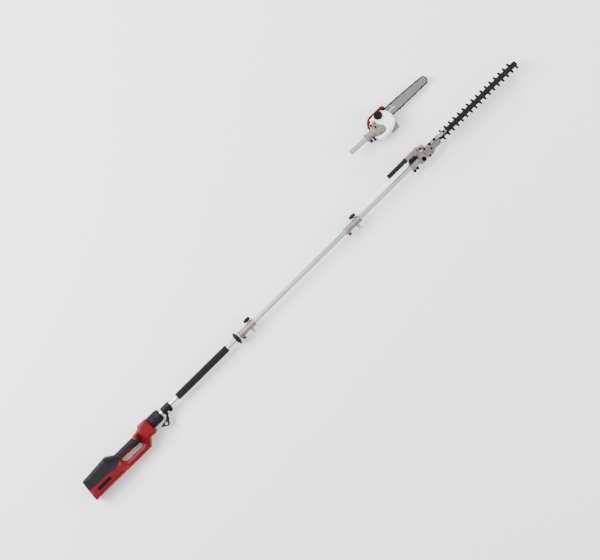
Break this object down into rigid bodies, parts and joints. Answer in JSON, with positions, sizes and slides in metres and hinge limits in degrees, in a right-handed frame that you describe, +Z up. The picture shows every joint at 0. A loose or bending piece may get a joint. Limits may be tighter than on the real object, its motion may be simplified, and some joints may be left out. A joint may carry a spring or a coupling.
{
  "type": "telescoping pole saw",
  "caption": "Cordless pole tool in plug-together lengths with a swinging double-blade trimmer head fitted and its chain saw head lying beside it.",
  "frame": {"origin": "on the flat side of the power unit that lies on the floor, under the pole axis, 70 mm in front of its rear end", "axes": "+X along the pole from the power unit to the blade tip, +Y towards the top of the handle, +Z up from the floor"},
  "size_m": [2.42, 0.3325, 0.091],
  "materials": {
    "red_abs": "satin, moulded",
    "black_pa": "satin, moulded",
    "black_grip": "matt, overmoulded",
    "label_plate": "matt, blank",
    "black_screws": "black oxide",
    "motor_steel": "plated",
    "pole_aluminium": "drawn, clear anodised",
    "shaft_steel": "ground",
    "bush_bronze": "sintered",
    "foam": "matt, foamed",
    "cast_alloy": "cast, bead-blasted",
    "zinc_steel": "zinc plated",
    "gear_steel": "machined",
    "bracket_steel": "stamped",
    "blade_steel": "black oxide",
    "bar_steel": "ground",
    "chain_steel": "dark, oiled",
    "white_pe": "blow moulded",
    "cap_black": "matt, moulded",
    "bumper_steel": "stamped"
  },
  "bodies": {
    "power_unit": {"red_shell_upper": "red_abs", "red_shell_lower": "red_abs", "black_cover_upper": "black_pa", "black_cover_lower": "black_pa", "front_collar": "black_pa", "label_plate": "label_plate", "shell_screws": "black_screws", "motor": "motor_steel", "trigger_switch": "black_pa", "rear_tube": "pole_aluminium", "rear_shaft_bushes": "bush_bronze", "strap_clamp": "black_pa", "strap_clamp_screw": "black_screws", "foam_grip": "foam", "hand_stop_ring": "black_pa", "coupler_1": "cast_alloy", "coupler_1_screws": "black_screws"},
    "battery": {"battery_pack": "black_pa"},
    "latch": {"battery_latch": "red_abs"},
    "trigger": {"trigger": "black_pa"},
    "lock_off": {"lock_off_button": "black_pa"},
    "rear_drive": {"motor_coupling": "shaft_steel", "rear_drive_shaft": "shaft_steel"},
    "hook": {"strap_hook": "black_pa"},
    "knob_1": {"coupler_1_knob": "black_pa"},
    "pin_1": {"coupler_1_pin": "zinc_steel"},
    "middle_section": {"middle_tube": "pole_aluminium", "coupler_2": "cast_alloy", "coupler_2_screws": "black_screws"},
    "middle_drive": {"middle_drive_shaft": "shaft_steel"},
    "knob_2": {"coupler_2_knob": "black_pa"},
    "pin_2": {"coupler_2_pin": "zinc_steel"},
    "ring_2": {"coupler_2_ring": "zinc_steel"},
    "front_section": {"front_tube": "pole_aluminium", "head_clamp": "cast_alloy", "head_clamp_screws": "black_screws", "pivot_bolt": "black_screws"},
    "front_drive": {"front_drive_shaft": "shaft_steel"},
    "release": {"lock_release": "black_pa"},
    "pivot_gear": {"pivot_gear": "gear_steel"},
    "hedge_head": {"gear_case": "cast_alloy", "case_screws": "black_screws", "swing_lever": "cast_alloy", "lever_grip": "black_grip", "blade_bracket": "bracket_steel", "blade_bolts": "black_screws"},
    "crank": {"crank_gear": "gear_steel"},
    "blade_up": {"upper_blade": "blade_steel"},
    "blade_low": {"lower_blade": "blade_steel"},
    "saw_head": {"saw_tube": "pole_aluminium", "saw_gear_case": "cast_alloy", "saw_screws": "black_screws", "oil_tank": "white_pe", "sprocket_cover": "red_abs", "guide_bar": "bar_steel", "saw_chain": "chain_steel", "bumper_plate": "bumper_steel"},
    "saw_shaft": {"saw_drive_shaft": "shaft_steel"},
    "sprocket": {"drive_sprocket": "gear_steel"},
    "cap": {"oil_cap": "cap_black"}
  },
  "joints": [
    {"name": "battery_slide", "type": "slide", "parent": "power_unit", "child": "battery", "axis": [-1, 0, 0], "range_m": [0, 0.12]},
    {"name": "latch_press", "type": "slide", "parent": "battery", "child": "latch", "axis": [1, 0, 0], "range_m": [0, 0.003], "stiffness_N_per_m": 400, "springref_m": -0.003},
    {"name": "trigger_pull", "type": "hinge", "parent": "power_unit", "child": "trigger", "pos_m": [0.217, -0.014, 0.038], "axis": [0, 0, -1], "range_deg": [0, 6], "stiffness_Nm_per_rad": 1, "springref_deg": -8.59},
    {"name": "lock_off_press", "type": "slide", "parent": "power_unit", "child": "lock_off", "axis": [0, -1, 0], "range_m": [0, 0.003], "stiffness_N_per_m": 400, "springref_m": -0.003},
    {"name": "motor_spin", "type": "hinge", "parent": "power_unit", "child": "rear_drive", "pos_m": [0.297, 0, 0.038], "axis": [1, 0, 0], "continuous": true},
    {"name": "hook_swing", "type": "hinge", "parent": "power_unit", "child": "hook", "pos_m": [0.371, -0.02, 0.038], "axis": [0, 0, 1], "range_deg": [-10, 60]},
    {"name": "knob_1_turn", "type": "hinge", "parent": "power_unit", "child": "knob_1", "pos_m": [0.86, 0.02, 0.038], "axis": [0, 1, 0], "range_deg": [0, 360]},
    {"name": "pin_1_pull", "type": "slide", "parent": "power_unit", "child": "pin_1", "axis": [0, -1, 0], "range_m": [0, 0.008], "stiffness_N_per_m": 600, "springref_m": -0.006},
    {"name": "middle_slide", "type": "slide", "parent": "power_unit", "child": "middle_section", "axis": [1, 0, 0], "range_m": [0, 0.1]},
    {"name": "middle_spin", "type": "hinge", "parent": "middle_section", "child": "middle_drive", "pos_m": [0.855, 0, 0.038], "axis": [1, 0, 0], "continuous": true},
    {"name": "knob_2_turn", "type": "hinge", "parent": "middle_section", "child": "knob_2", "pos_m": [1.451, 0.02, 0.038], "axis": [0, 1, 0], "range_deg": [0, 360]},
    {"name": "pin_2_pull", "type": "slide", "parent": "middle_section", "child": "pin_2", "axis": [0, -1, 0], "range_m": [0, 0.008], "stiffness_N_per_m": 600, "springref_m": -0.006},
    {"name": "ring_2_turn", "type": "hinge", "parent": "pin_2", "child": "ring_2", "pos_m": [1.444, -0.0384, 0.038], "axis": [0, 0, 1], "continuous": true},
    {"name": "front_slide", "type": "slide", "parent": "middle_section", "child": "front_section", "axis": [1, 0, 0], "range_m": [0, 0.1]},
    {"name": "front_spin", "type": "hinge", "parent": "front_section", "child": "front_drive", "pos_m": [1.446, 0, 0.038], "axis": [1, 0, 0], "continuous": true},
    {"name": "release_press", "type": "hinge", "parent": "front_section", "child": "release", "pos_m": [1.783, 0.01576, 0.05031], "axis": [0, -0.6157, 0.788], "range_deg": [0, 5], "stiffness_Nm_per_rad": 0.8, "springref_deg": -6.88},
    {"name": "pivot_gear_spin", "type": "hinge", "parent": "front_section", "child": "pivot_gear", "pos_m": [1.818, -0.00123, 0.03958], "axis": [0, -0.6157, 0.788], "continuous": true},
    {"name": "head_swing", "type": "hinge", "parent": "front_section", "child": "hedge_head", "pos_m": [1.818, 0, 0.038], "axis": [0, 0.6157, -0.788], "range_deg": [0, 90]},
    {"name": "crank_spin", "type": "hinge", "parent": "hedge_head", "child": "crank", "pos_m": [1.86, -0.00788, 0.03184], "axis": [0, 0.788, 0.6157], "continuous": true},
    {"name": "upper_blade_slide", "type": "slide", "parent": "hedge_head", "child": "blade_up", "axis": [1, 0, 0], "range_m": [-0.008, 0.008]},
    {"name": "lower_blade_slide", "type": "slide", "parent": "hedge_head", "child": "blade_low", "axis": [1, 0, 0], "range_m": [-0.008, 0.008]},
    {"name": "saw_lift", "type": "slide", "parent": "power_unit", "child": "saw_head", "axis": [0, 0, 1], "range_m": [0, 0.2]},
    {"name": "saw_shaft_spin", "type": "hinge", "parent": "saw_head", "child": "saw_shaft", "pos_m": [1.707, 0.207, 0.05], "axis": [0.999, -0.0436, 0], "continuous": true},
    {"name": "saw_sprocket_spin", "type": "hinge", "parent": "saw_head", "child": "sprocket", "pos_m": [1.81384, 0.22386, 0.024], "axis": [0, 0, 1], "continuous": true},
    {"name": "oil_cap_turn", "type": "hinge", "parent": "saw_head", "child": "cap", "pos_m": [1.80517, 0.24075, 0.08], "axis": [0, 0, 1], "range_deg": [0, 270]}
  ],
  "couplings": [
    {"joint": "middle_spin", "follows": "motor_spin", "ratio": 1},
    {"joint": "front_spin", "follows": "motor_spin", "ratio": 1},
    {"joint": "pivot_gear_spin", "follows": "motor_spin", "ratio": -0.875},
    {"joint": "crank_spin", "follows": "motor_spin", "ratio": 0.25},
    {"joint": "lower_blade_slide", "follows": "upper_blade_slide", "ratio": -1},
    {"joint": "saw_sprocket_spin", "follows": "saw_shaft_spin", "ratio": -0.5}
  ]
}
